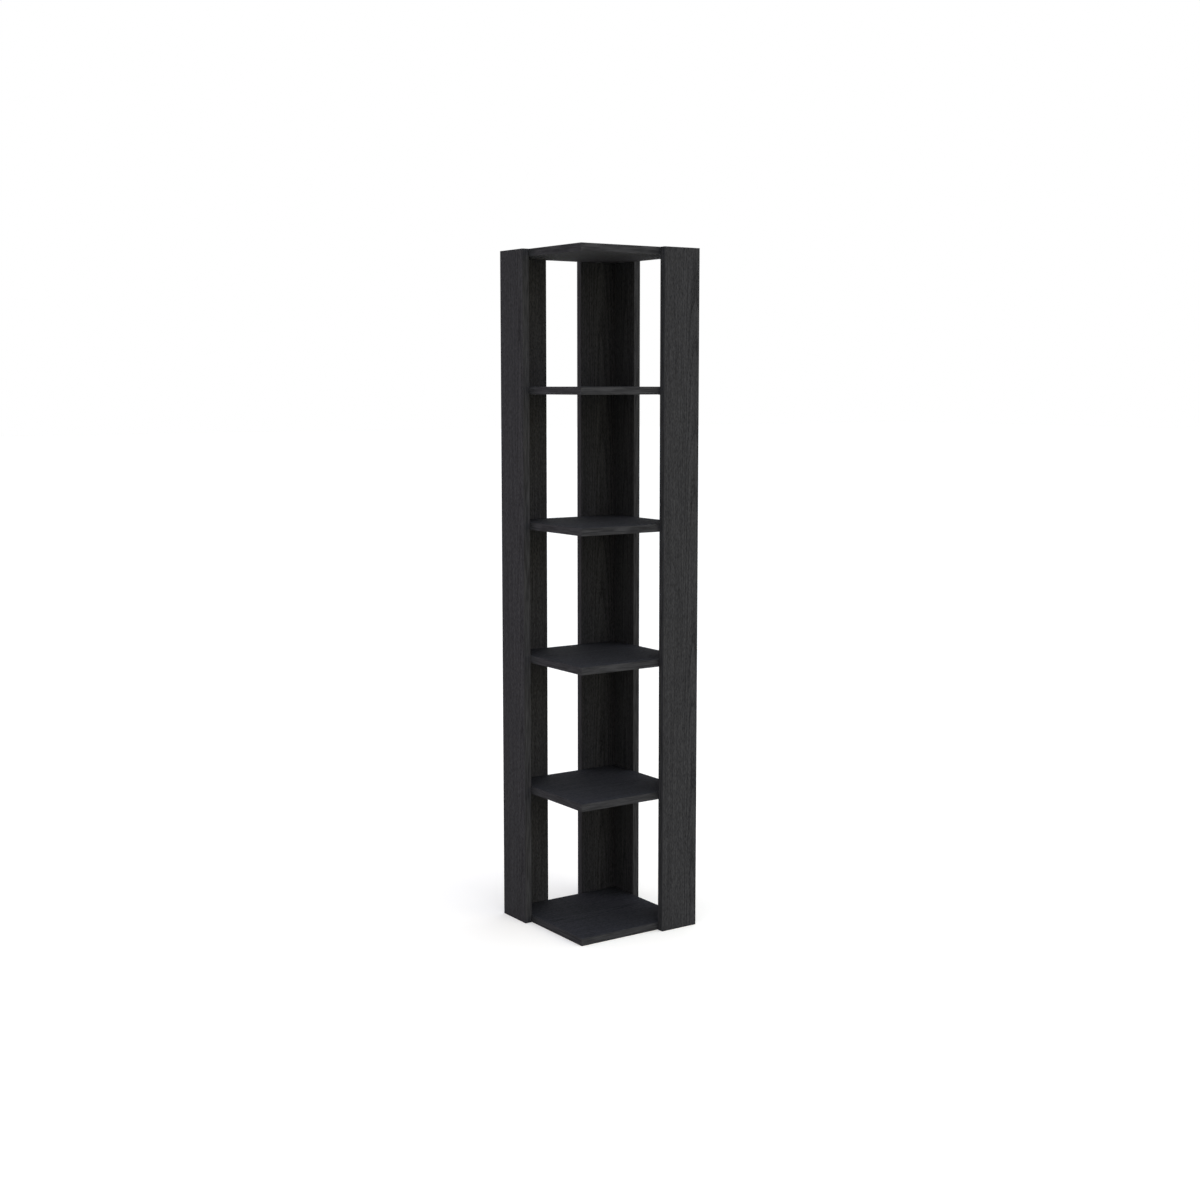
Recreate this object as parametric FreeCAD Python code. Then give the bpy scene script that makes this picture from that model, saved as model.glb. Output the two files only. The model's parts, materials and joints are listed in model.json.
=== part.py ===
import FreeCAD, Part
import os
from collections import namedtuple
from math import atan2, cos, degrees, pi

# Corner bookcase: six square shelves held at three corners by L-shaped posts.
#
# A post is two flat boards that stand on the floor, against two neighbouring sides of the shelves.
# One of the two laps over the edge of the other. The shelves' fourth corner, front right, is open.
# Where a board meets a shelf, a cam lock in the shelf's underside pulls on a bolt in the board,
# and a wooden dowel beside it carries the load. A cap hides each cam, except under the lowest shelf,
# which lies on the floor.
#
# Millimetres. X runs to the right, Y to the rear, Z up. The origin is on the floor, under the
# middle of the bookcase. The corner of the room is at rear left.

# Panels, all cut from one stock board
BOARD_THICKNESS = 18.0
SHELF_SIDE = 300.0
POST_BOARD_WIDTH = 100.0
BAY_HEIGHT = 300.0
SHELF_COUNT = 6

# Edge bands, counted in the panels' sizes
BAND_THICKNESS = 1.0
BAND_EDGE_RADIUS = 0.8

# Dowels
DOWEL_DIAMETER = 8.0
DOWEL_LENGTH = 30.0
DOWEL_LENGTH_IN_POST = 11.5
DOWEL_CHAMFER = 1.0
DOWEL_CLEARANCE = 0.1
DOWEL_END_ROOM = 0.5

# From a dowel to the bolt beside it, along the side of the shelf
FIXING_PITCH = 32.0

# Cam bolts
BOLT_PILOT_DIAMETER = 5.0
BOLT_PILOT_CLEARANCE = 0.1
BOLT_PILOT_END_ROOM = 1.0
BOLT_STEM_LENGTH = 11.0
BOLT_HOLE_DIAMETER = 8.0
BOLT_COLLAR_DIAMETER = 7.4
BOLT_COLLAR_THICKNESS = 1.5
BOLT_SHANK_DIAMETER = 6.0
BOLT_SHANK_ROOM = 0.5
BOLT_NECK_DIAMETER = 4.0
BOLT_HEAD_SHOULDER = 1.25
BOLT_HEAD_RIM = 1.0

# Cam locks
CAM_SETBACK = 24.0
CAM_BORE_DIAMETER = 15.0
CAM_BORE_PAST_BOLT = 4.5
CAM_CLEARANCE = 0.1
CAM_RECESS = 0.3
CAM_ECCENTRICITY = 0.5
CAM_HEAD_CLEARANCE = 0.15
CAM_SLOT_START = -45.0
CAM_SLOT_SWEEP = 180.0
CAM_MOUTH_SWEEP = 55.0
CAM_DRIVE_LENGTH = 7.0
CAM_DRIVE_WIDTH = 1.6
CAM_DRIVE_DEPTH = 2.4

# Cam caps
CAP_RIM_OVERLAP = 1.0
CAP_THICKNESS = 0.8
CAP_EDGE_RADIUS = 0.5
CAP_PEG_CLEARANCE = 0.1
CAP_PEG_END_ROOM = 0.4

# Worked out from the sizes above
SHELF_PITCH = BAY_HEIGHT + BOARD_THICKNESS
HEIGHT = (SHELF_COUNT - 1) * SHELF_PITCH + BOARD_THICKNESS
HALF_SHELF = SHELF_SIDE / 2
FIXING_HEIGHT = BOARD_THICKNESS / 2
DOWEL_HOLE_RADIUS = DOWEL_DIAMETER / 2 + DOWEL_CLEARANCE
DOWEL_LENGTH_IN_SHELF = DOWEL_LENGTH - DOWEL_LENGTH_IN_POST
NECK_RADIUS = BOLT_NECK_DIAMETER / 2
HEAD_RADIUS = NECK_RADIUS + BOLT_HEAD_SHOULDER
CAM_BORE_DEPTH = FIXING_HEIGHT + CAM_BORE_PAST_BOLT
CAM_RADIUS = CAM_BORE_DIAMETER / 2 - CAM_CLEARANCE

UP = FreeCAD.Vector(0, 0, 1)

# A post board: the corner of the shelf that it starts from, the way its outer face looks, the way
# it runs from the corner along the shelf's side, and how far it starts before the corner.
PostBoard = namedtuple("PostBoard", "name corner outward along overhang")


def post_board(name, corner, outward, along, laps):
    """A board of a post. One that laps starts a thickness early, to cover its partner's edge."""
    return PostBoard(
        name,
        FreeCAD.Vector(*corner, 0) * HALF_SHELF,
        FreeCAD.Vector(*outward, 0),
        FreeCAD.Vector(*along, 0),
        BOARD_THICKNESS if laps else 0.0,
    )


POST_BOARDS = [
    post_board("left_post_front_board", (-1, -1), (0, -1), (1, 0), True),
    post_board("left_post_side_board", (-1, -1), (-1, 0), (0, 1), False),
    post_board("corner_post_side_board", (-1, 1), (-1, 0), (0, -1), False),
    post_board("corner_post_rear_board", (-1, 1), (0, 1), (1, 0), True),
    post_board("right_post_rear_board", (1, 1), (0, 1), (-1, 0), False),
    post_board("right_post_side_board", (1, 1), (1, 0), (0, -1), True),
]

SHELF_HEIGHTS = [number * SHELF_PITCH for number in range(SHELF_COUNT)]
MIDDLE_SHELVES = [f"shelf_{number}" for number in range(2, SHELF_COUNT)]
SHELF_NAMES = ["bottom_shelf", *MIDDLE_SHELVES, "top_shelf"]


def block(corner, opposite):
    """The block between two opposite corners."""
    low = [min(a, b) for a, b in zip(corner, opposite)]
    size = [abs(a - b) for a, b in zip(corner, opposite)]
    return Part.makeBox(*size, FreeCAD.Vector(*low))


def joint_point(board, from_corner, z):
    """The point on the joint between a board and a shelf's side, at a distance from the corner."""
    return board.corner + board.along * from_corner + UP * z


def fixing_places(board):
    """Distances of the dowel and of the bolt from the shelf's corner, about the joint's middle."""
    middle = (POST_BOARD_WIDTH - board.overhang) / 2
    return middle - FIXING_PITCH / 2, middle + FIXING_PITCH / 2


def every_joint():
    """Each place where a board meets a shelf: the board, and its dowel's and bolt's points."""
    for board in POST_BOARDS:
        dowel_place, bolt_place = fixing_places(board)
        for shelf_height in SHELF_HEIGHTS:
            z = shelf_height + FIXING_HEIGHT
            yield board, joint_point(board, dowel_place, z), joint_point(board, bolt_place, z)


def edge_band(start, across, outward, run, length):
    """A strip along one edge of a panel, with its two outer corners rounded."""
    flat = BAND_THICKNESS - BAND_EDGE_RADIUS
    inset = BAND_EDGE_RADIUS * (1 - cos(pi / 4))

    def at(a, out):
        return start + across * a + outward * out

    far = BOARD_THICKNESS
    outline = [
        Part.makeLine(at(0, 0), at(far, 0)),
        Part.makeLine(at(far, 0), at(far, flat)),
        Part.Arc(
            at(far, flat),
            at(far - inset, BAND_THICKNESS - inset),
            at(far - BAND_EDGE_RADIUS, BAND_THICKNESS),
        ).toShape(),
        Part.makeLine(at(far - BAND_EDGE_RADIUS, BAND_THICKNESS), at(BAND_EDGE_RADIUS, BAND_THICKNESS)),
        Part.Arc(
            at(BAND_EDGE_RADIUS, BAND_THICKNESS),
            at(inset, BAND_THICKNESS - inset),
            at(0, flat),
        ).toShape(),
        Part.makeLine(at(0, flat), at(0, 0)),
    ]
    return Part.Face(Part.Wire(outline)).extrude(run * length)


def post_drillings(board):
    """Dowel holes and bolt pilot holes in the inner face of a post board."""
    dowel_depth = DOWEL_LENGTH_IN_POST + DOWEL_END_ROOM
    pilot_depth = BOLT_STEM_LENGTH + BOLT_PILOT_END_ROOM
    holes = []
    for owner, dowel_point, bolt_point in every_joint():
        if owner is board:
            holes.append(Part.makeCylinder(DOWEL_HOLE_RADIUS, dowel_depth, dowel_point, board.outward))
            holes.append(
                Part.makeCylinder(BOLT_PILOT_DIAMETER / 2, pilot_depth, bolt_point, board.outward)
            )
    return holes


def post_board_core(board):
    """The board inside its bands: two long edges and the top end are banded, the foot is raw."""
    near = BAND_THICKNESS - board.overhang
    far = POST_BOARD_WIDTH - board.overhang - BAND_THICKNESS
    foot = joint_point(board, near, 0)
    head = joint_point(board, far, HEIGHT - BAND_THICKNESS) + board.outward * BOARD_THICKNESS
    return block(foot, head).cut(post_drillings(board))


def post_board_bands(board):
    """The strips on a post board's two long edges, and the one between them on its top end."""
    near = BAND_THICKNESS - board.overhang
    far = POST_BOARD_WIDTH - board.overhang - BAND_THICKNESS
    near_edge = edge_band(
        joint_point(board, near, 0), board.outward, board.along * -1, UP, HEIGHT
    )
    far_edge = edge_band(joint_point(board, far, 0), board.outward, board.along, UP, HEIGHT)
    top_end = edge_band(
        joint_point(board, near, HEIGHT - BAND_THICKNESS), board.outward, UP, board.along, far - near
    )
    return Part.makeCompound([near_edge, far_edge, top_end])


def shelf_drillings():
    """Holes of the lowest shelf: dowel and bolt holes from its sides, cam bores from below."""
    dowel_depth = DOWEL_LENGTH_IN_SHELF + DOWEL_END_ROOM
    holes = []
    for board in POST_BOARDS:
        inward = board.outward * -1
        dowel_place, bolt_place = fixing_places(board)
        dowel_point = joint_point(board, dowel_place, FIXING_HEIGHT)
        bolt_point = joint_point(board, bolt_place, FIXING_HEIGHT)
        cam_point = joint_point(board, bolt_place, 0) + inward * CAM_SETBACK
        holes.append(Part.makeCylinder(DOWEL_HOLE_RADIUS, dowel_depth, dowel_point, inward))
        holes.append(Part.makeCylinder(BOLT_HOLE_DIAMETER / 2, CAM_SETBACK, bolt_point, inward))
        holes.append(Part.makeCylinder(CAM_BORE_DIAMETER / 2, CAM_BORE_DEPTH, cam_point, UP))
    return holes


def shelf_core():
    """The lowest shelf inside its four bands."""
    half_core = HALF_SHELF - BAND_THICKNESS
    core = block((-half_core, -half_core, 0), (half_core, half_core, BOARD_THICKNESS))
    return core.cut(shelf_drillings())


def shelf_bands():
    """The lowest shelf's four strips. The left and right ones cover the ends of the other two."""
    half_core = HALF_SHELF - BAND_THICKNESS
    right = FreeCAD.Vector(1, 0, 0)
    rear = FreeCAD.Vector(0, 1, 0)
    strips = []
    for side in (-1, 1):
        start = right * (side * half_core) - rear * HALF_SHELF
        strips.append(edge_band(start, UP, right * side, rear, SHELF_SIDE))
        start = rear * (side * half_core) - right * half_core
        strips.append(edge_band(start, UP, rear * side, right, 2 * half_core))
    holes = shelf_drillings()
    return Part.makeCompound([strip.cut(holes).Solids[0] for strip in strips])


def dowel():
    """A dowel along +X, with the joint between post and shelf at x = 0."""
    radius = DOWEL_DIAMETER / 2
    start = FreeCAD.Vector(-DOWEL_LENGTH_IN_POST, 0, 0)
    peg = Part.makeCylinder(radius, DOWEL_LENGTH, start, FreeCAD.Vector(1, 0, 0))
    ends = [edge for edge in peg.Edges if len(edge.Vertexes) == 1]
    return peg.makeChamfer(DOWEL_CHAMFER, ends)


def cam_chamber_radius():
    """The least chamber in which the rim of the bolt's head clears the round wall."""
    shoulder = BOLT_HEAD_SHOULDER - CAM_HEAD_CLEARANCE
    return (HEAD_RADIUS**2 + shoulder**2) / (2 * shoulder)


def head_seat():
    """From the cam's axis to the chamber's wall, on the bolt's side."""
    return cam_chamber_radius() - CAM_ECCENTRICITY


def cam_bolt():
    """A bolt along +X, turned from bar, with its collar on the post's inner face at x = 0."""
    stem_radius = BOLT_PILOT_DIAMETER / 2 - BOLT_PILOT_CLEARANCE
    shank_end = CAM_SETBACK - CAM_BORE_DIAMETER / 2 - BOLT_SHANK_ROOM
    head_start = CAM_SETBACK - head_seat()
    rim_start = head_start + BOLT_HEAD_SHOULDER
    head_end = rim_start + BOLT_HEAD_RIM
    profile = [
        (-BOLT_STEM_LENGTH, 0),
        (-BOLT_STEM_LENGTH, stem_radius),
        (0, stem_radius),
        (0, BOLT_COLLAR_DIAMETER / 2),
        (BOLT_COLLAR_THICKNESS, BOLT_COLLAR_DIAMETER / 2),
        (BOLT_COLLAR_THICKNESS, BOLT_SHANK_DIAMETER / 2),
        (shank_end, BOLT_SHANK_DIAMETER / 2),
        (shank_end, NECK_RADIUS),
        (head_start, NECK_RADIUS),
        (rim_start, HEAD_RADIUS),
        (head_end, HEAD_RADIUS),
        (head_end, 0),
        (-BOLT_STEM_LENGTH, 0),
    ]
    outline = Part.makePolygon([FreeCAD.Vector(x, 0, radius) for x, radius in profile])
    return Part.Face(outline).revolve(FreeCAD.Vector(), FreeCAD.Vector(1, 0, 0), 360)


def cam_slot(half_height, start_angle, sweep):
    """A slot through the cam's round wall, swept about its axis from an angle off the bolt."""
    inner = head_seat() - BOLT_HEAD_SHOULDER
    outer = 2 * CAM_RADIUS
    corners = [(inner, -half_height), (outer, -half_height), (outer, half_height), (inner, half_height)]
    points = [FreeCAD.Vector(radius, 0, FIXING_HEIGHT + z) for radius, z in corners]
    section = Part.Face(Part.makePolygon([*points, points[0]]))
    section.rotate(FreeCAD.Vector(), UP, start_angle)
    return section.revolve(FreeCAD.Vector(), UP, sweep)


def drive_cross(clearance, top):
    """The cross of the cam's drive, narrower all round by a clearance, from z = 0 to its top."""
    half_length = CAM_DRIVE_LENGTH / 2 - clearance
    half_width = CAM_DRIVE_WIDTH / 2 - clearance
    return [
        block((-half_length, -half_width, 0), (half_length, half_width, top)),
        block((-half_width, -half_length, 0), (half_width, half_length, top)),
    ]


def cam_lock():
    """A cam on the Z axis, locked on a bolt that comes from +X, in a shelf whose underside is z = 0.

    The bolt's head sits in an off-centre chamber. Its neck comes out through a slot, which widens
    at its far end to the mouth where the head goes in before the cam is turned.
    """
    chamber_half_height = HEAD_RADIUS + CAM_HEAD_CLEARANCE
    slot_half_height = NECK_RADIUS + CAM_HEAD_CLEARANCE
    body = Part.makeCylinder(CAM_RADIUS, CAM_BORE_DEPTH - CAM_RECESS, UP * CAM_RECESS)
    chamber = Part.makeCylinder(
        cam_chamber_radius(),
        2 * chamber_half_height,
        FreeCAD.Vector(-CAM_ECCENTRICITY, 0, FIXING_HEIGHT - chamber_half_height),
    )
    slot = cam_slot(slot_half_height, CAM_SLOT_START, CAM_SLOT_SWEEP)
    mouth_start = CAM_SLOT_START + CAM_SLOT_SWEEP - CAM_MOUTH_SWEEP
    mouth = cam_slot(chamber_half_height, mouth_start, CAM_MOUTH_SWEEP)
    drive = drive_cross(0, CAM_RECESS + CAM_DRIVE_DEPTH)
    return body.cut([chamber, slot, mouth, *drive])


def cam_cap():
    """A cap on the Z axis: a disc on the shelf's underside at z = 0, with a peg in the cam's drive."""
    disc = Part.makeCylinder(CAM_BORE_DIAMETER / 2 + CAP_RIM_OVERLAP, CAP_THICKNESS, UP * -CAP_THICKNESS)
    lower_rim = [edge for edge in disc.Edges if edge.BoundBox.ZMax < 0]
    peg_top = CAM_RECESS + CAM_DRIVE_DEPTH - CAP_PEG_END_ROOM
    peg = drive_cross(CAP_PEG_CLEARANCE, peg_top)
    return disc.makeFillet(CAP_EDGE_RADIUS, lower_rim).fuse(peg).removeSplitter().Solids[0]


def turned_and_moved(solid, x_axis, point):
    """A copy of a solid, turned about Z so that its X lies along x_axis, and moved to a point."""
    turn = FreeCAD.Rotation(UP, degrees(atan2(x_axis.y, x_axis.x)))
    placed = solid.copy()
    placed.Placement = FreeCAD.Placement(point, turn)
    return placed


def fixings():
    """All the dowels, bolts, cams and caps, each as one group of separate solids."""
    one_dowel = dowel()
    one_bolt = cam_bolt()
    one_cam = cam_lock()
    one_cap = cam_cap()
    dowels = []
    bolts = []
    cams = []
    caps = []
    for board, dowel_point, bolt_point in every_joint():
        inward = board.outward * -1
        cam_point = bolt_point + inward * CAM_SETBACK - UP * FIXING_HEIGHT
        dowels.append(turned_and_moved(one_dowel, inward, dowel_point))
        bolts.append(turned_and_moved(one_bolt, inward, bolt_point))
        cams.append(turned_and_moved(one_cam, board.outward, cam_point))
        if cam_point.z > 0:
            caps.append(turned_and_moved(one_cap, board.outward, cam_point))
    return {
        "wooden_dowels": Part.makeCompound(dowels),
        "cam_bolts": Part.makeCompound(bolts),
        "cam_locks": Part.makeCompound(cams),
        "cam_caps": Part.makeCompound(caps),
    }


def raised(shape, z):
    """A copy of a shape, lifted."""
    copy = shape.copy()
    copy.translate(UP * z)
    return copy


def all_parts():
    """Every node's name and shape."""
    parts = {}
    core = shelf_core()
    bands = shelf_bands()
    for name, z in zip(SHELF_NAMES, SHELF_HEIGHTS):
        parts[name] = raised(core, z)
        parts[f"{name}_edge_bands"] = raised(bands, z)
    for board in POST_BOARDS:
        parts[board.name] = post_board_core(board)
        parts[f"{board.name}_edge_bands"] = post_board_bands(board)
    parts.update(fixings())
    return parts


os.makedirs("parts", exist_ok=True)
for part_name, part_shape in all_parts().items():
    part_shape.exportStep(f"parts/{part_name}.step")
    print(f"{part_name}: {len(part_shape.Solids)} solids, {part_shape.Volume / 1000:.1f} cm3")
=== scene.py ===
# %% [markdown]
# # A corner bookcase in black wood-grain board
#
# The bookcase is flat-pack furniture. Six square shelves of 18 mm chipboard are held at three corners
# by posts, and each post is two upright boards that meet in an L. The fourth corner stays open. The
# pieces come from a finished CAD model, at their real size and place, so nothing here moves or reshapes
# them. This lesson adds what the eye reads: a camera and light, then the printed grain, the plastic
# strips on the edges, and the metal, plastic and beech of the fittings. All sizes are in metres, unless
# a name says otherwise.

import json
import math

import bpy
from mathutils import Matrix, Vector


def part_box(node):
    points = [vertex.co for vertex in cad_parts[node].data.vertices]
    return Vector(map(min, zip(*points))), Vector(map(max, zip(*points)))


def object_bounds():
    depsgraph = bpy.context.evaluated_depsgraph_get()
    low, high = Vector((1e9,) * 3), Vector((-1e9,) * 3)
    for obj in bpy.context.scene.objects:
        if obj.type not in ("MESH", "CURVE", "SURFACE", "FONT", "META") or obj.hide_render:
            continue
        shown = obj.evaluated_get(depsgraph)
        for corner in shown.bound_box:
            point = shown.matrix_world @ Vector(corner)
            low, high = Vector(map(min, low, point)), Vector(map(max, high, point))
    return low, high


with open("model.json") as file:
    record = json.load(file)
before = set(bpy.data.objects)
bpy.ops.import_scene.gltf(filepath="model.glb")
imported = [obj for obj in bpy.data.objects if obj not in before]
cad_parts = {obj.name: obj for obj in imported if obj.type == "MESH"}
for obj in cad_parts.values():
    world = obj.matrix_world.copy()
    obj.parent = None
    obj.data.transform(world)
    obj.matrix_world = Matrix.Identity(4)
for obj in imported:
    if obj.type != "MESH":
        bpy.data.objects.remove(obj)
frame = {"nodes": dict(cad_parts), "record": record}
nodes = frame["nodes"]
cad_low, cad_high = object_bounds()
print(len(nodes), "pieces, overall", [round(side, 3) for side in cad_high - cad_low], "m")

# %% [markdown]
# ## The camera
#
# We look into the open corner from the right, from about four fifths of the bookcase's height, with a
# lens slightly longer than normal, so that the upright boards stay nearly parallel. A camera can be
# aimed by a constraint at an empty. Here its place and turn are worked out from how far it stands, how
# far round, which way it heads, how high it is and how much it tilts, because those are what a
# photographer would note.

# %% Set up the camera
CAMERA_REACH = 4.0492
CAMERA_ROUND = math.radians(55.688)
CAMERA_HEADING = math.radians(55.648)
CAMERA_HEIGHT = 1.2942
CAMERA_TILT = math.radians(6.386)
SENSOR_MM = 36.0
LENS_MM = 51.24
PICTURE_SHIFT = -0.02

scene = bpy.context.scene
camera_data = bpy.data.cameras.new("camera")
camera_data.sensor_width = SENSOR_MM
camera_data.lens = LENS_MM
camera_data.shift_y = PICTURE_SHIFT
camera = bpy.data.objects.new("camera", camera_data)
camera.location = (
    CAMERA_REACH * math.sin(CAMERA_ROUND),
    -CAMERA_REACH * math.cos(CAMERA_ROUND),
    CAMERA_HEIGHT,
)
camera.rotation_euler = (math.pi / 2 - CAMERA_TILT, 0, CAMERA_HEADING)
scene.collection.objects.link(camera)
scene.camera = camera
scene.view_settings.view_transform = "Standard"
print("camera at", [round(place, 3) for place in camera.location], "m, lens", LENS_MM, "mm")

# %% [markdown]
# ## A short way to write shader nodes
#
# Every light and finish below is a small network of nodes. Nodes can be added and linked one call at a
# time, but that buries the idea under bookkeeping. A few helpers take it over: one fills an input from
# a number or from another node, one adds a node, and the rest write arithmetic. They return outputs,
# which go straight into the next node.

# %% Fill an input, add a node
def feed(tree, socket, value):
    """Fill an input: link it if the value is another node's output, or else set its own value."""
    if isinstance(value, bpy.types.NodeSocket):
        tree.links.new(value, socket)
    else:
        socket.default_value = value


def add(tree, kind, inputs=None, output=0, **settings):
    """Add a shader node, set it up, fill its inputs and return one of its outputs."""
    node = tree.nodes.new("ShaderNode" + kind)
    for name, value in settings.items():
        setattr(node, name, value)
    for name, value in (inputs or {}).items():
        feed(tree, node.inputs[name], value)
    return node.outputs[output]


print("nodes can be added in one line")


# %% Arithmetic and mixing
def calc(tree, operation, *values):
    """Arithmetic on outputs and numbers."""
    return add(tree, "Math", dict(enumerate(values)), operation=operation)


def dot(tree, first, second):
    """How far the first vector reaches along the second, which is one unit long."""
    return add(tree, "VectorMath", {0: first, 1: second}, output="Value", operation="DOT_PRODUCT")


def mix_colours(tree, factor, first, second):
    """The first colour where the factor is 0, the second where it is 1."""
    inputs = {"Factor": factor, "A": first, "B": second}
    return add(tree, "Mix", inputs, output="Result", data_type="RGBA")


print("arithmetic in nodes is ready")

# %% [markdown]
# ## The studio
#
# The bookcase stands on a plain white floor that runs out of sight. Soft light comes from all round,
# strongest from the right and a little from behind, warm near the floor and cool from above, as daylight
# is. Two large softboxes stand low. The right one lights the faces that look right. The left one lights
# those that look to the front, but the left post keeps it off the narrow end of the right post, so that
# end stays darker and marks the edge. Lamps alone could do it, but they would need to be many: black
# board shows its form by small differences of tone, so the light is broad rather than bright.
#
# The background has to be white without pouring more light on the black board. Cycles can tell which
# rays come from the camera. Those rays, and the ones that mirror or pass through glass, see a white of
# strength 1, while the light on the bookcase keeps its own level. The floor adds some of that white to
# its real shading, so it keeps the shadow. Its paint is a warm white, which makes up for the cool light.

# %% Rays that see the background itself
def seen_directly(tree):
    """1 for rays from the camera, mirrored or through glass, and 0 for those that carry light."""
    path = tree.nodes.new("ShaderNodeLightPath")
    mirrored = calc(tree, "MAXIMUM", path.outputs["Is Glossy Ray"], path.outputs["Is Transmission Ray"])
    return calc(tree, "MAXIMUM", path.outputs["Is Camera Ray"], mirrored)


print("the background can be white by itself")

# %% Light from all round
WORLD_LIGHT = 1.15
LEAN = 0.77
BRIGHT_SIDE = (0.90, 0.44, 0.0)
SIDE_LIGHT = (1.14, 1.04, 0.83, 1.0)
SKY_LIGHT = (0.66, 0.83, 1.38, 1.0)
WHITE = (1.0, 1.0, 1.0, 1.0)

world = bpy.data.worlds.new("studio")
world.use_nodes = True
scene.world = world
room = world.node_tree
walls = room.nodes["Background"]
seen = seen_directly(room)
direction = add(room, "TexCoord", output="Generated")
level = calc(room, "MULTIPLY_ADD", dot(room, direction, BRIGHT_SIDE), WORLD_LIGHT * LEAN, WORLD_LIGHT)
up_to_white = calc(room, "SUBTRACT", 1.0, level)
feed(room, walls.inputs["Strength"], calc(room, "MULTIPLY_ADD", seen, up_to_white, level))
height = add(room, "SeparateXYZ", {"Vector": direction}, output="Z")
tint = mix_colours(room, height, SIDE_LIGHT, SKY_LIGHT)
feed(room, walls.inputs["Color"], mix_colours(room, seen, tint, WHITE))
brightest = WORLD_LIGHT * (1 + LEAN)
print("light of", WORLD_LIGHT, "on average, and", round(brightest, 2), "from the bright side")

# %% A floor that runs out of sight
FLOOR_HALF = 40.0
FLOOR_DROP = 0.0002

floor_mesh = bpy.data.meshes.new("floor")
floor_corners = [
    (side * FLOOR_HALF, end * FLOOR_HALF, cad_low.z - FLOOR_DROP)
    for side, end in ((-1, -1), (1, -1), (1, 1), (-1, 1))
]
floor_mesh.from_pydata(floor_corners, [], [(0, 1, 2, 3)])
floor = bpy.data.objects.new("floor", floor_mesh)
scene.collection.objects.link(floor)
print("floor", 2 * FLOOR_HALF, "m square, just under the feet")

# %% White paint that keeps the shadow
FLOOR_COLOUR = (0.84, 0.78, 0.60, 1.0)
FLOOR_LIFT = 0.3

floor_paint = bpy.data.materials.new("white_floor")
floor_paint.use_nodes = True
floor_tree = floor_paint.node_tree
floor_tree.nodes.remove(floor_tree.nodes["Principled BSDF"])
shaded = add(floor_tree, "BsdfDiffuse", {"Color": FLOOR_COLOUR})
lift_strength = calc(floor_tree, "MULTIPLY", seen_directly(floor_tree), FLOOR_LIFT)
lift = add(floor_tree, "Emission", {"Color": WHITE, "Strength": lift_strength})
floor_look = add(floor_tree, "AddShader", {0: shaded, 1: lift})
feed(floor_tree, floor_tree.nodes["Material Output"].inputs["Surface"], floor_look)
floor_mesh.materials.append(floor_paint)
print("floor painted", FLOOR_COLOUR[:3], "and lifted by", FLOOR_LIFT)

# %% Two softboxes
SOFTBOX_SIDE = 1.6
SOFTBOX_LIGHTS = {
    "right_softbox": (Vector((3.2, 1.15, 0.85)), 22.0, (1.0, 0.97, 0.7)),
    "left_softbox": (Vector((-2.85, -1.85, 0.85)), 32.0, (0.97, 0.79, 1.0)),
}

for name, (place, watts, colour) in SOFTBOX_LIGHTS.items():
    softbox = bpy.data.lights.new(name, "AREA")
    softbox.shape = "SQUARE"
    softbox.size = SOFTBOX_SIDE
    softbox.energy = watts
    softbox.color = colour
    stand = bpy.data.objects.new(name, softbox)
    stand.location = place
    aim = (cad_low + cad_high) / 2 - place
    stand.rotation_euler = aim.to_track_quat("-Z", "Y").to_euler()
    scene.collection.objects.link(stand)
    print(name, "of", watts, "W,", round(aim.length, 2), "m from the middle of the bookcase")

# %% [markdown]
# ## The grain: growth rings
#
# Furniture board is chipboard with a sheet of printed and pressed paper on both faces. The print copies
# a flat-sawn plank: nearly straight lines at the sides, and pointed arches where the saw ran along the
# rings. The arches could be painted in a picture, but a picture has one scale and a seam. We let the
# shader saw the plank instead: growth rings are cylinders round the log's heart, and a flat board that
# cuts them at a slant shows arches by itself. Two noises bend the rings, because no tree grows
# perfectly round.

# %% Noise that is drawn out along the board
PLAIN_DETAIL = 2.0
FINE_DETAIL = 3.0


def calc_vector(tree, operation, *vectors):
    """Arithmetic on vectors."""
    return add(tree, "VectorMath", dict(enumerate(vectors)), operation=operation)


def stretched_noise(tree, place, sheet, spot, detail=PLAIN_DETAIL):
    """Noise from 0 to 1. A spot is its width across the grain and its length. Each sheet has its own."""
    width, length = spot
    spots = calc_vector(tree, "DIVIDE", place, (width, length, width))
    inputs = {"Vector": spots, "W": sheet, "Scale": 1.0, "Detail": detail}
    return add(tree, "TexNoise", inputs, noise_dimensions="4D")


print("noise can be stretched along the grain")

# %% Rings round the heart of the log
RING_WIDTH = 0.0030
RUN_OUT = 0.014
WAVER = 0.012
WAVER_SPOT = (0.09, 0.55)
RIPPLE = 0.0014
RIPPLE_SPOT = (0.016, 0.10)
MM_PER_METRE = 1000


def growth_rings(tree, place, sheet):
    """From 0 at the start of a year's growth to 1 at its end. The heart of the log is the second axis."""
    across, along, through = add(tree, "SeparateXYZ", {"Vector": place}).node.outputs
    depth = calc(tree, "MULTIPLY_ADD", along, RUN_OUT, through)
    wide = calc(tree, "MULTIPLY", across, across)
    radius = calc(tree, "SQRT", calc(tree, "MULTIPLY_ADD", depth, depth, wide))
    waver = stretched_noise(tree, place, sheet, WAVER_SPOT)
    ripple = stretched_noise(tree, place, sheet, RIPPLE_SPOT)
    radius = calc(tree, "MULTIPLY_ADD", waver, WAVER, radius)
    radius = calc(tree, "MULTIPLY_ADD", ripple, RIPPLE, radius)
    return calc(tree, "FRACT", calc(tree, "DIVIDE", radius, RING_WIDTH))


print("a growth ring every", RING_WIDTH * MM_PER_METRE, "mm")

# %% From early to late wood
LATE_WOOD = [(0.0, 0.0), (0.14, 0.15), (0.4, 0.75), (0.8, 1.0), (0.96, 0.8), (1.0, 0.0)]


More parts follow.
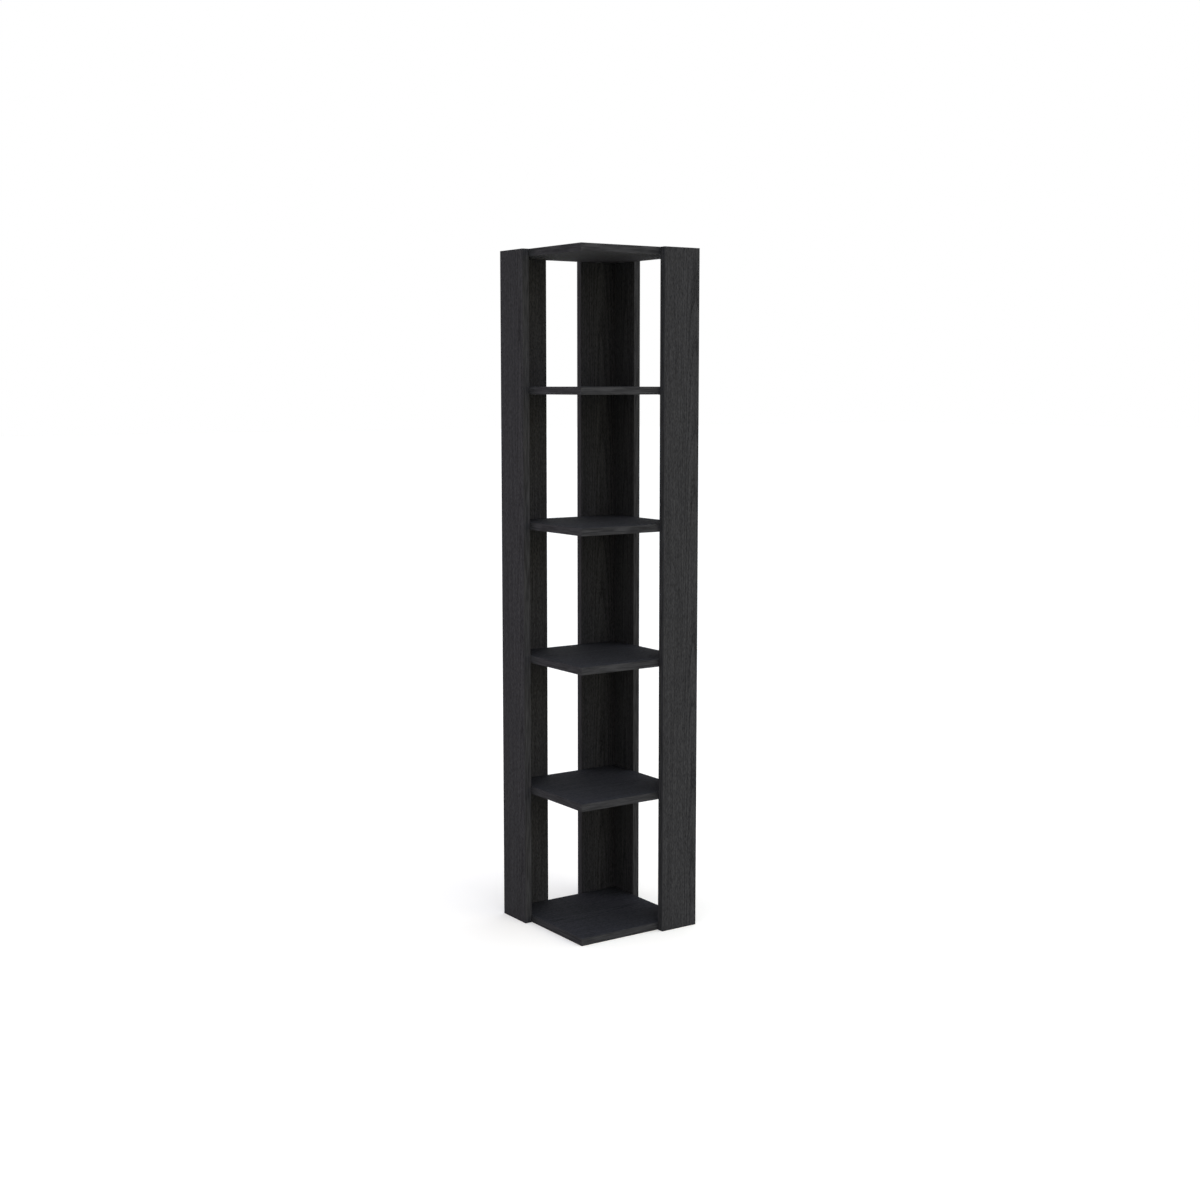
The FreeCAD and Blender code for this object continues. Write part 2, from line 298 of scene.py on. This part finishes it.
def ramp(tree, factor, stops):
    """A colour ramp through (position, colour) stops; a plain number stands for a grey."""
    output = add(tree, "ValToRGB", {"Fac": factor})
    elements = output.node.color_ramp.elements
    while len(elements) < len(stops):
        elements.new(1.0)
    for element, (position, colour) in zip(elements, stops):
        element.position = position
        element.color = (*colour, 1.0) if isinstance(colour, tuple) else (colour, colour, colour, 1.0)
    return output


print("a year's growth in", len(LATE_WOOD), "steps")

# %% [markdown]
# ## The grain: streaks, flecks and pores
#
# Between the rings a plank shows long streaks and short flecks of lighter and darker wood. Ash and oak
# also have pores: thin dark dashes, under a millimetre wide and several long, that crowd where each
# year's growth starts. The press stamps them into the facing, so they lie a little deeper than the
# rest. Pores could be modelled one by one, but there are hundreds of thousands. A Voronoi texture gives
# the distance to scattered points, and when its space is squeezed along the board, a small distance
# makes a dash. Streaks and flecks are one noise at two sizes.

# %% Pores
PORE_SPACING = 0.0014
PORE_RUN = 0.0090
PORE_CORE = 0.20
PORE_RIM = 0.50
LATE_WOOD_THINS = 0.5


def spread(tree, value, low, high):
    """Stretch the values from low to high over 0 to 1, and cut off the rest."""
    return add(tree, "MapRange", {"Value": value, "From Min": low, "From Max": high})


def pressed_pores(tree, place, late_wood):
    """1 in the pores and 0 between them. They crowd in the early wood."""
    cells = calc_vector(tree, "DIVIDE", place, (PORE_SPACING, PORE_RUN, PORE_SPACING))
    nearest = add(tree, "TexVoronoi", {"Vector": cells, "Scale": 1.0, "Randomness": 1.0})
    dashes = calc(tree, "SUBTRACT", 1.0, spread(tree, nearest, PORE_CORE, PORE_RIM))
    crowding = calc(tree, "MULTIPLY_ADD", late_wood, -LATE_WOOD_THINS, 1.0)
    return calc(tree, "MULTIPLY", dashes, crowding)


print("pores", PORE_SPACING * MM_PER_METRE, "mm apart and up to", PORE_RUN * MM_PER_METRE, "mm long")

# %% The tone of the print
RING_SHARE = 0.24
STREAK_SHARE = 0.20
FLECK_SHARE = 0.26
FIBRE_SHARE = 0.14
DRIFT_SHARE = 0.06
STREAK_SPOT = (0.0026, 0.22)
FLECK_SPOT = (0.0014, 0.010)
DRIFT_SPOT = (0.05, 0.5)
STREAK_REACH = 0.14
FLECK_REACH = 0.11
NOISE_MIDDLE = 0.5


def sharpened(tree, noise, reach):
    """Noise stays near its middle. This stretches it until that reach to either side fills 0 to 1."""
    return spread(tree, noise, NOISE_MIDDLE - reach, NOISE_MIDDLE + reach)


def add_up(tree, *parts):
    """The sum of pairs of a share and a value."""
    total = 0.0
    for share, value in parts:
        total = calc(tree, "MULTIPLY_ADD", value, share, total)
    return total


def printed_tone(tree, place, sheet, late_wood, fibres):
    """From 0 for the darkest wood to 1 for the lightest."""
    streaks = stretched_noise(tree, place, sheet, STREAK_SPOT)
    flecks = stretched_noise(tree, place, sheet, FLECK_SPOT)
    drift = stretched_noise(tree, place, sheet, DRIFT_SPOT)
    return add_up(
        tree,
        (RING_SHARE, late_wood),
        (STREAK_SHARE, sharpened(tree, streaks, STREAK_REACH)),
        (FLECK_SHARE, sharpened(tree, flecks, FLECK_REACH)),
        (FIBRE_SHARE, fibres),
        (DRIFT_SHARE, drift),
    )


print(f"the tone is {RING_SHARE:.0%} rings, {STREAK_SHARE:.0%} streaks and {FLECK_SHARE:.0%} flecks")

# %% [markdown]
# ## The grain: one node group
#
# All boards share one grain, so it goes into a node group, which is to nodes what a function is to
# code. A point's place in the log goes in, and three things come out: the tone of the print, the pores,
# and the height of the pressed surface. The number of the sheet makes each board's noise its own.

# %% Put the grain together
FIBRE_SPOT = (0.0006, 0.012)
RING_HEIGHT = 0.25
FIBRE_HEIGHT = 0.25
PORE_DEPTH = 0.6


def build_wood_grain():
    """The node group. Its outputs run from about 0 to 1."""
    tree = bpy.data.node_groups.new("wood_grain", "ShaderNodeTree")
    tree.interface.new_socket("Place", in_out="INPUT", socket_type="NodeSocketVector")
    tree.interface.new_socket("Sheet", in_out="INPUT", socket_type="NodeSocketFloat")
    for name in ("Tone", "Pores", "Relief"):
        tree.interface.new_socket(name, in_out="OUTPUT", socket_type="NodeSocketFloat")
    place, sheet, _ = tree.nodes.new("NodeGroupInput").outputs

    late_wood = ramp(tree, growth_rings(tree, place, sheet), LATE_WOOD)
    fibres = stretched_noise(tree, place, sheet, FIBRE_SPOT)
    pores = pressed_pores(tree, place, late_wood)
    relief = add_up(tree, (RING_HEIGHT, late_wood), (FIBRE_HEIGHT, fibres), (-PORE_DEPTH, pores))

    leave = tree.nodes.new("NodeGroupOutput")
    feed(tree, leave.inputs["Tone"], printed_tone(tree, place, sheet, late_wood, fibres))
    feed(tree, leave.inputs["Pores"], pores)
    feed(tree, leave.inputs["Relief"], relief)
    return tree


wood_grain = build_wood_grain()
print("grain group with", len(wood_grain.nodes), "nodes")

# %% [markdown]
# ## Raw chipboard
#
# The facing covers only the two wide faces of a panel. Saw cuts and drilled holes show what is inside:
# flakes of wood pressed together. On this bookcase that is the foot ends of the uprights and the bores
# for the fittings. The flakes could come from a noise, but noise has no edges. Cells of a Voronoi
# texture, each with a tone of its own, look like separate flakes.

# %% The look of chipboard
FLAKE_WIDTH = 0.0028
FLAKE_LENGTH = 0.0050
FLAKE_TONES = [(0.0, (0.20, 0.12, 0.06)), (0.35, (0.42, 0.28, 0.15)), (1.0, (0.62, 0.46, 0.28))]


def chipboard_colour(tree, place):
    """The colour of pressed flakes at a point of the board."""
    flakes = calc_vector(tree, "DIVIDE", place, (FLAKE_WIDTH, FLAKE_LENGTH, FLAKE_WIDTH))
    cell = add(tree, "TexVoronoi", {"Vector": flakes, "Scale": 1.0}, output="Color")
    chance = add(tree, "SeparateColor", {"Color": cell})
    return ramp(tree, chance, FLAKE_TONES)


print("flakes of about", FLAKE_WIDTH * MM_PER_METRE, "by", FLAKE_LENGTH * MM_PER_METRE, "mm")

# %% [markdown]
# ## The directions of a board
#
# A board's own directions are across the grain, along it, and through the thickness. They follow from
# its box: the thin side is the thickness, an upright's long side is the grain, and a shelf's grain runs
# front to rear. They could be written down board by board, but then a new board would need a new line.
# The CAD pieces all have their origin at the origin of the bookcase, so Object coordinates are places
# in the bookcase, in metres. Taking away the middle of the board's box gives the place in the board.

# %% Across, along and through
AXES = "XYZ"
BOARD_SLOT = "black_wood_board"
BOARDS = [piece["node"] for piece in frame["record"]["subparts"] if piece["material_slot"] == BOARD_SLOT]


def board_axes(board):
    """The letters of a board's across, along and through axes."""
    low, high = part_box(board)
    sides = list(high - low)
    through = sides.index(min(sides))
    along = AXES.index("Y") if AXES[through] == "Z" else sides.index(max(sides))
    across = next(axis for axis in range(len(AXES)) if axis not in (along, through))
    return AXES[across], AXES[along], AXES[through]


for board in BOARDS:
    print(board, "has its grain along", board_axes(board)[1])


# %% A place in the board
def place_in_board(tree, board):
    """Across, along and through, in metres from the middle of the board."""
    low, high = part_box(board)
    point = add(tree, "TexCoord", output="Object")
    from_middle = calc_vector(tree, "SUBTRACT", point, (low + high) / 2)
    parts = add(tree, "SeparateXYZ", {"Vector": from_middle}).node.outputs
    across, along, through = board_axes(board)
    return add(tree, "CombineXYZ", {"X": parts[across], "Y": parts[along], "Z": parts[through]})


print("places are measured from the middle of each of", len(BOARDS), "boards")

# %% [markdown]
# ## The facing of the boards
#
# The facing is black and matt. Its tone hardly varies, so what shows as wood is a difference of a few
# hundredths, and pores that are darker still. Black board goes wrong easily: with the usual shine it
# turns grey wherever we see it at a low angle, so the shine is low and the roughness high. The raw cuts
# could have a material of their own, but the CAD piece is one mesh. One material with a mask serves
# both: a point that lies deeper than the facing's skin is inside a hole or on a saw cut.

# %% Where the facing ends
FACING_SKIN = 0.00005


def raw_cut(tree, place, board):
    """1 where the board is sawn or drilled, and 0 on its two faced sides."""
    low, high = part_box(board)
    half_thickness = min(high - low) / 2
    through = add(tree, "SeparateXYZ", {"Vector": place}, output="Z")
    return calc(tree, "LESS_THAN", calc(tree, "ABSOLUTE", through), half_thickness - FACING_SKIN)


print("the facing is a skin of", FACING_SKIN * MM_PER_METRE, "mm")

# %% Where each sheet was cut
HEART_ASIDE = 0.04
HEART_SHIFT = 0.45
HEART_DEPTH = 0.045
ASIDE_TURN = 2.4
SHIFT_TURN = 1.7
SHEET_STEP = 7.3


def log_heart(sheet):
    """Where the log's heart lay, seen from the middle of each sheet: no two sheets are cut alike."""
    aside = HEART_ASIDE * math.sin(ASIDE_TURN * sheet)
    shift = HEART_SHIFT * math.cos(SHIFT_TURN * sheet)
    return Vector((aside, shift, -HEART_DEPTH))


def sheet_grain(tree, place, sheet):
    """The tone, pores and relief of one sheet."""
    grain = tree.nodes.new("ShaderNodeGroup")
    grain.node_tree = wood_grain
    feed(tree, grain.inputs["Place"], calc_vector(tree, "SUBTRACT", place, log_heart(sheet)))
    feed(tree, grain.inputs["Sheet"], SHEET_STEP * sheet)
    return grain.outputs


print("the log's heart lies", HEART_DEPTH * MM_PER_METRE, "mm behind the middle of a board")

# %% Finish the boards
FACING_TONES = [(0.13, (0.0110, 0.0110, 0.0114)), (0.83, (0.0405, 0.0405, 0.0409))]
PORE_COLOUR = (0.0060, 0.0060, 0.0063, 1.0)
FACING_SHINE = 0.05
FACING_ROUGHNESS = 0.8
PORES_ROUGHER = 0.1
CHIPBOARD_ROUGHNESS = 0.95
EMBOSS_DEPTH = 0.00025
EMBOSS_STRENGTH = 0.6


def new_finish(name):
    """An empty material, with its node tree and its one surface shader."""
    material = bpy.data.materials.new(name)
    material.use_nodes = True
    tree = material.node_tree
    return material, tree, tree.nodes["Principled BSDF"]


def board_finish(board, sheet):
    """Matt black wood-grain facing on the wide faces, raw chipboard on every cut."""
    material, tree, surface = new_finish(board + "_finish")
    place = place_in_board(tree, board)
    tone, pores, relief = sheet_grain(tree, place, sheet)
    cut = raw_cut(tree, place, board)

    facing = mix_colours(tree, pores, ramp(tree, tone, FACING_TONES), PORE_COLOUR)
    colour = mix_colours(tree, cut, facing, chipboard_colour(tree, place))
    feed(tree, surface.inputs["Base Color"], colour)
    matt = calc(tree, "MULTIPLY_ADD", pores, PORES_ROUGHER, FACING_ROUGHNESS)
    rough_cut = calc(tree, "MULTIPLY", cut, CHIPBOARD_ROUGHNESS)
    feed(tree, surface.inputs["Roughness"], calc(tree, "MAXIMUM", matt, rough_cut))
    feed(tree, surface.inputs["Specular IOR Level"], FACING_SHINE)
    bump = add(tree, "Bump", {"Height": relief, "Distance": EMBOSS_DEPTH, "Strength": EMBOSS_STRENGTH})
    feed(tree, surface.inputs["Normal"], bump)
    return material


for sheet, board in enumerate(BOARDS):
    nodes[board].material_slots[0].material = board_finish(board, sheet)
print(len(BOARDS), "boards finished")

# %% [markdown]
# ## The edge bands
#
# The sawn edges of a panel are covered by plastic strips, ironed on and trimmed, with a small round
# along both rims. They carry a print of their own, and its grain runs along each strip, whichever way
# the strip goes. One node holds all the strips of a panel. Each strip could have a material of its own,
# but the shader can work the direction out: a strip's length is square to the way it faces and to the
# panel's thickness, which is what a cross product gives.

# %% Directions on a strip
UNIT = {"X": (1.0, 0.0, 0.0), "Y": (0.0, 1.0, 0.0), "Z": (0.0, 0.0, 1.0)}


def place_on_strip(tree, thickness_axis):
    """Across, along and through a strip, in metres, found from the way that the surface faces."""
    point = add(tree, "TexCoord", output="Object")
    facing = add(tree, "NewGeometry", output="True Normal")
    thickness = UNIT[thickness_axis]
    length = calc_vector(tree, "NORMALIZE", calc_vector(tree, "CROSS_PRODUCT", facing, thickness))
    sides = [dot(tree, point, side) for side in (thickness, length, facing)]
    return add(tree, "CombineXYZ", dict(enumerate(sides)))


print("strips know their own length")

# %% Finish the edge bands
BAND_TONES = [(0.2, (0.0144, 0.0144, 0.0148)), (0.8, (0.0365, 0.0365, 0.0371))]
BAND_STREAK_SHARE = 0.6
BAND_FIBRE_SHARE = 0.4
BAND_STREAK_SPOT = (0.0024, 0.04)
BAND_FIBRE_SPOT = (0.0007, 0.016)
BAND_STREAK_REACH = 0.16
BAND_SHINE = 0.05
BAND_ROUGHNESS = 0.7
FIBRES_ROUGHER = 0.12
BAND_TEXTURE_DEPTH = 0.00012
BAND_TEXTURE_STRENGTH = 0.5
STRIP_STEP = 3.1


def band_finish(board, strip):
    """Matt black plastic strip with a printed grain along its length."""
    material, tree, surface = new_finish(board + "_band_finish")
    place = place_on_strip(tree, board_axes(board)[2])
    noise = stretched_noise(tree, place, strip, BAND_STREAK_SPOT, detail=FINE_DETAIL)
    streaks = sharpened(tree, noise, BAND_STREAK_REACH)
    fibres = stretched_noise(tree, place, strip, BAND_FIBRE_SPOT)
    tone = add_up(tree, (BAND_FIBRE_SHARE, fibres), (BAND_STREAK_SHARE, streaks))
    feed(tree, surface.inputs["Base Color"], ramp(tree, tone, BAND_TONES))
    matt = calc(tree, "MULTIPLY_ADD", fibres, FIBRES_ROUGHER, BAND_ROUGHNESS)
    feed(tree, surface.inputs["Roughness"], matt)
    feed(tree, surface.inputs["Specular IOR Level"], BAND_SHINE)
    texture = {"Height": fibres, "Distance": BAND_TEXTURE_DEPTH, "Strength": BAND_TEXTURE_STRENGTH}
    feed(tree, surface.inputs["Normal"], add(tree, "Bump", texture))
    return material


for strip, board in enumerate(BOARDS):
    nodes[board + "_edge_bands"].material_slots[0].material = band_finish(board, STRIP_STEP * strip)
print("edge bands of", len(BOARDS), "panels finished")

# %% [markdown]
# ## The fittings of metal
#
# In each joint a zinc-plated bolt is screwed into the upright, and a cam of die-cast zinc, which turns
# in a bore under the shelf, draws it tight. Most of this is hidden, but someone who takes the part to
# pieces will see it. Bare castings have a dull, slightly cloudy skin, and plated steel is brighter with
# a faint tint. A flat grey would do for hidden pieces. A metal shader whose tone and roughness drift
# takes no longer, and one helper does for both.

# %% Finish the cams and bolts
CAST_ZINC = [(0.3, (0.40, 0.405, 0.415)), (0.7, (0.55, 0.555, 0.56))]
PLATED_STEEL = [(0.3, (0.56, 0.555, 0.52)), (0.7, (0.68, 0.68, 0.67))]
CLOUD_DETAIL = 4.0
SKIN_FINER = 12
ROUGHNESS_DRIFT = 0.25


def metal_finish(name, tones, cloud_size, roughness, skin_depth):
    """Bare metal whose tone and roughness drift, with a finely grained skin."""
    material, tree, surface = new_finish(name)
    point = add(tree, "TexCoord", output="Object")
    cloudy = {"Vector": point, "Scale": 1 / cloud_size, "Detail": CLOUD_DETAIL}
    cloud = add(tree, "TexNoise", cloudy)
    grainy = {"Vector": point, "Scale": SKIN_FINER / cloud_size, "Detail": PLAIN_DETAIL}
    skin = add(tree, "TexNoise", grainy)
    feed(tree, surface.inputs["Base Color"], ramp(tree, cloud, tones))
    feed(tree, surface.inputs["Metallic"], 1.0)
    feed(tree, surface.inputs["Roughness"], calc(tree, "MULTIPLY_ADD", cloud, ROUGHNESS_DRIFT, roughness))
    feed(tree, surface.inputs["Normal"], add(tree, "Bump", {"Height": skin, "Distance": skin_depth}))
    return material


cast = metal_finish("cast_zinc", CAST_ZINC, cloud_size=0.004, roughness=0.42, skin_depth=0.00005)
nodes["cam_locks"].material_slots[0].material = cast
plated = metal_finish("plated_steel", PLATED_STEEL, cloud_size=0.006, roughness=0.26, skin_depth=0.00002)
nodes["cam_bolts"].material_slots[0].material = plated
print("cams of cast zinc and bolts of plated steel finished")

# %% [markdown]
# ## The caps and the dowels
#
# A black plastic cap is pressed over each cam, so nothing bright shows from below. Only the cams under
# the bottom shelf, which lies on the floor, have none. Plastic takes on the texture of its mould, here
# a fine spark-eroded one, and a small noise in the bump is enough for that. A dowel of raw beech beside
# each bolt keeps the upright from turning. Beech is pale with short dark flecks along the grain. A
# dowel lies square to its upright, so it runs along X where it sits further out in X than in Y.

# %% Finish the caps
CAP_TONES = [(0.3, (0.016, 0.016, 0.017)), (0.7, (0.026, 0.026, 0.0275))]
CAP_TEXTURE_SIZE = 0.0004
CAP_TEXTURE_DEPTH = 0.00004
CAP_ROUGHNESS = 0.55
CAP_ROUGHNESS_DRIFT = 0.2
CAP_SHINE = 0.2


def cap_finish():
    """Moulded black plastic with a fine spark texture."""
    material, tree, surface = new_finish("black_cap_finish")
    point = add(tree, "TexCoord", output="Object")
    sparks = {"Vector": point, "Scale": 1 / CAP_TEXTURE_SIZE, "Detail": FINE_DETAIL}
    texture = add(tree, "TexNoise", sparks)
    feed(tree, surface.inputs["Base Color"], ramp(tree, texture, CAP_TONES))
    satin = calc(tree, "MULTIPLY_ADD", texture, CAP_ROUGHNESS_DRIFT, CAP_ROUGHNESS)
    feed(tree, surface.inputs["Roughness"], satin)
    feed(tree, surface.inputs["Specular IOR Level"], CAP_SHINE)
    bump = add(tree, "Bump", {"Height": texture, "Distance": CAP_TEXTURE_DEPTH})
    feed(tree, surface.inputs["Normal"], bump)
    return material


nodes["cam_caps"].material_slots[0].material = cap_finish()
print("caps of black plastic finished")

# %% Finish the dowels
BEECH = [(0.25, (0.46, 0.29, 0.16)), (0.75, (0.66, 0.47, 0.29))]
DOWEL_NUMBER = 0.0
BEECH_FLECK_SPOT = (0.0006, 0.004)
BEECH_ROUGHNESS = 0.6
BEECH_ROUGHNESS_DRIFT = 0.15
BEECH_TEXTURE_DEPTH = 0.0001


def place_in_dowel(tree):
    """A point of the bookcase with the dowel's length as the second part."""
    point = add(tree, "TexCoord", output="Object")
    x, y, z = add(tree, "SeparateXYZ", {"Vector": point}).node.outputs
    lies_along_x = calc(tree, "GREATER_THAN", calc(tree, "ABSOLUTE", x), calc(tree, "ABSOLUTE", y))
    swapped = add(tree, "CombineXYZ", {0: y, 1: x, 2: z})
    inputs = {"Factor": lies_along_x, "A": point, "B": swapped}
    return add(tree, "Mix", inputs, output="Result", data_type="VECTOR")


def dowel_finish():
    """Raw beech with short flecks along each dowel."""
    material, tree, surface = new_finish("beech_dowel_finish")
    place = place_in_dowel(tree)
    flecks = stretched_noise(tree, place, DOWEL_NUMBER, BEECH_FLECK_SPOT, detail=FINE_DETAIL)
    feed(tree, surface.inputs["Base Color"], ramp(tree, flecks, BEECH))
    raw = calc(tree, "MULTIPLY_ADD", flecks, BEECH_ROUGHNESS_DRIFT, BEECH_ROUGHNESS)
    feed(tree, surface.inputs["Roughness"], raw)
    bump = add(tree, "Bump", {"Height": flecks, "Distance": BEECH_TEXTURE_DEPTH})
    feed(tree, surface.inputs["Normal"], bump)
    return material


nodes["wooden_dowels"].material_slots[0].material = dowel_finish()
print("dowels of raw beech finished")
